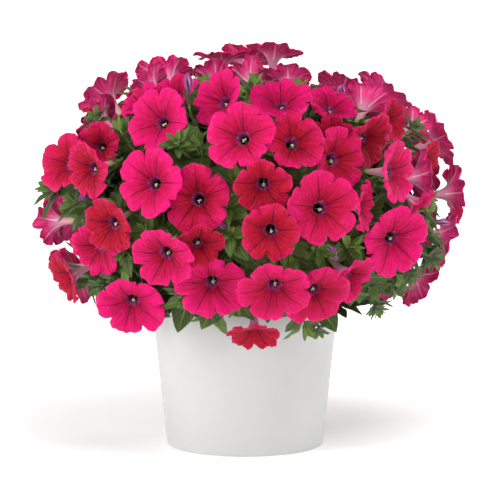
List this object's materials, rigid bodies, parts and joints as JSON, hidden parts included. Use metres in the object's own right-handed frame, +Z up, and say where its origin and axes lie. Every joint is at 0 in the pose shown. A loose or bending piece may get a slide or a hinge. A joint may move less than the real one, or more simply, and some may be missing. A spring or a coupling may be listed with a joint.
{
  "type": "potted petunia",
  "caption": "Spreading petunia in full bloom, trumpet flowers over leafy shoots, standing in a plain tapered round pot.",
  "frame": {"origin": "centre of the pot's underside", "axes": "+Z up; -Y towards the front, the side with the view of the picture; +X to the right of that view"},
  "size_m": [0.4483, 0.4699, 0.4201],
  "materials": {
    "pot": "satin",
    "soil": "matte",
    "green": "matte",
    "petal_magenta": "matte",
    "petal_crimson": "matte"
  },
  "bodies": {
    "root": {"bloom_01": "petal_magenta", "bloom_02": "petal_magenta", "bloom_03": "petal_magenta", "bloom_04": "petal_magenta", "bloom_05": "petal_magenta", "bloom_06": "petal_crimson", "bloom_07": "petal_crimson", "bloom_08": "petal_magenta", "bloom_09": "petal_magenta", "bloom_10": "petal_magenta", "bloom_11": "petal_magenta", "bloom_12": "petal_crimson", "bloom_13": "petal_magenta", "bloom_14": "petal_crimson", "bloom_15": "petal_magenta", "bloom_16": "petal_magenta", "bloom_17": "petal_magenta", "bloom_18": "petal_magenta", "bloom_19": "petal_crimson", "bloom_20": "petal_magenta", "bloom_23": "petal_magenta", "bloom_28": "petal_magenta", "bloom_29": "petal_magenta", "bloom_30": "petal_magenta", "bloom_31": "petal_magenta", "bloom_32": "petal_magenta", "bloom_34": "petal_crimson", "bloom_35": "petal_magenta", "bloom_37": "petal_magenta", "bloom_39": "petal_magenta", "bloom_40": "petal_magenta", "bloom_41": "petal_magenta", "bloom_42": "petal_magenta", "bloom_43": "petal_crimson", "blooms_21_22": "petal_magenta", "blooms_24_25_49": "petal_magenta", "blooms_26_27": "petal_magenta", "blooms_33_48": "petal_magenta", "blooms_36_38": "petal_crimson", "blooms_44_45": "petal_magenta", "blooms_46_47": "petal_magenta", "blooms_50_51_52": "petal_magenta", "blooms_53_54_55": "petal_magenta", "blooms_56_57_58": "petal_magenta", "blooms_59_60_61": "petal_magenta", "blooms_62_63_64": "petal_magenta", "blooms_65_66_67": "petal_magenta", "blooms_68_69_70": "petal_magenta", "blooms_71_72_73": "petal_magenta", "blooms_74_75_76": "petal_magenta", "blooms_77_78_79": "petal_magenta", "blooms_80_81_82": "petal_magenta", "blooms_83_84_85": "petal_magenta", "blooms_86_87_88": "petal_magenta", "foliage": "green", "pot": "pot", "soil": "soil"}
  },
  "joints": []
}
